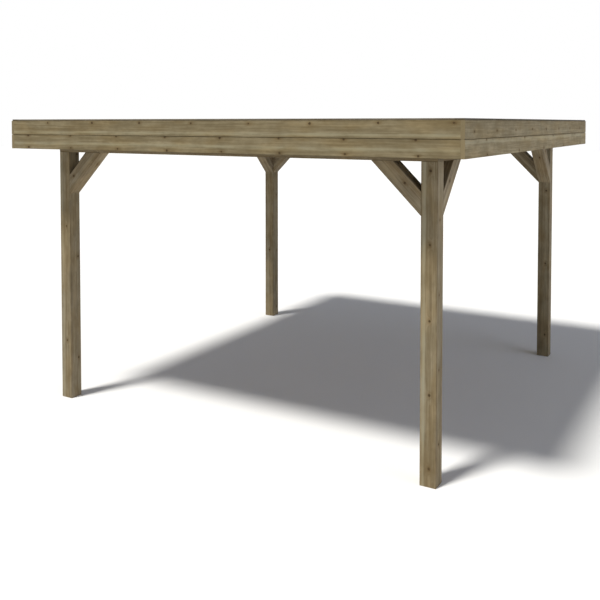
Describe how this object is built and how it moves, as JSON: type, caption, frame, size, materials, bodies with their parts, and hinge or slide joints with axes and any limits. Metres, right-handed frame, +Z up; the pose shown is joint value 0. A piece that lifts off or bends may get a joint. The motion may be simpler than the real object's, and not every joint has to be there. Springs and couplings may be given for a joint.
{
  "type": "flat-roofed timber garden pergola",
  "caption": "Free-standing timber pergola: square posts, ring beams, corner braces, a flat boarded roof with rafters, a two-board fascia, a kerb, a cap and a sheet covering.",
  "frame": {"origin": "on the ground, under the middle of the roof", "axes": "+X to the right along the front, +Y from front to back, +Z up"},
  "size_m": [4, 4, 2.44],
  "materials": {
    "post_timber": "planed, pressure-treated softwood, matt",
    "beam_timber": "planed, pressure-treated softwood, matt",
    "brace_timber": "planed, pressure-treated softwood, matt",
    "roof_timber": "planed, pressure-treated softwood, matt",
    "roof_boards": "planed boards, matt",
    "fascia_boards": "planed, pressure-treated softwood, matt",
    "cap_timber": "planed, weathered softwood, matt",
    "roof_sheet": "smooth waterproof sheet, matt"
  },
  "bodies": {
    "root": {"front_left_post": "post_timber", "front_right_post": "post_timber", "back_left_post": "post_timber", "back_right_post": "post_timber", "front_beam": "beam_timber", "back_beam": "beam_timber", "left_beam": "beam_timber", "right_beam": "beam_timber", "front_left_cross_brace": "brace_timber", "front_right_cross_brace": "brace_timber", "back_left_cross_brace": "brace_timber", "back_right_cross_brace": "brace_timber", "front_left_side_brace": "brace_timber", "front_right_side_brace": "brace_timber", "back_left_side_brace": "brace_timber", "back_right_side_brace": "brace_timber", "rafter_1": "roof_timber", "rafter_2": "roof_timber", "rafter_3": "roof_timber", "rafter_4": "roof_timber", "rafter_5": "roof_timber", "left_outriggers": "roof_timber", "right_outriggers": "roof_timber", "front_rim": "roof_timber", "back_rim": "roof_timber", "left_rim": "roof_timber", "right_rim": "roof_timber", "roof_deck": "roof_boards", "roof_membrane": "roof_sheet", "front_and_back_kerbs": "roof_timber", "left_and_right_kerbs": "roof_timber", "front_lower_fascia": "fascia_boards", "back_lower_fascia": "fascia_boards", "left_lower_fascia": "fascia_boards", "right_lower_fascia": "fascia_boards", "front_upper_fascia": "fascia_boards", "back_upper_fascia": "fascia_boards", "left_upper_fascia": "fascia_boards", "right_upper_fascia": "fascia_boards", "front_cap": "cap_timber", "back_cap": "cap_timber", "left_cap": "cap_timber", "right_cap": "cap_timber"}
  },
  "joints": []
}
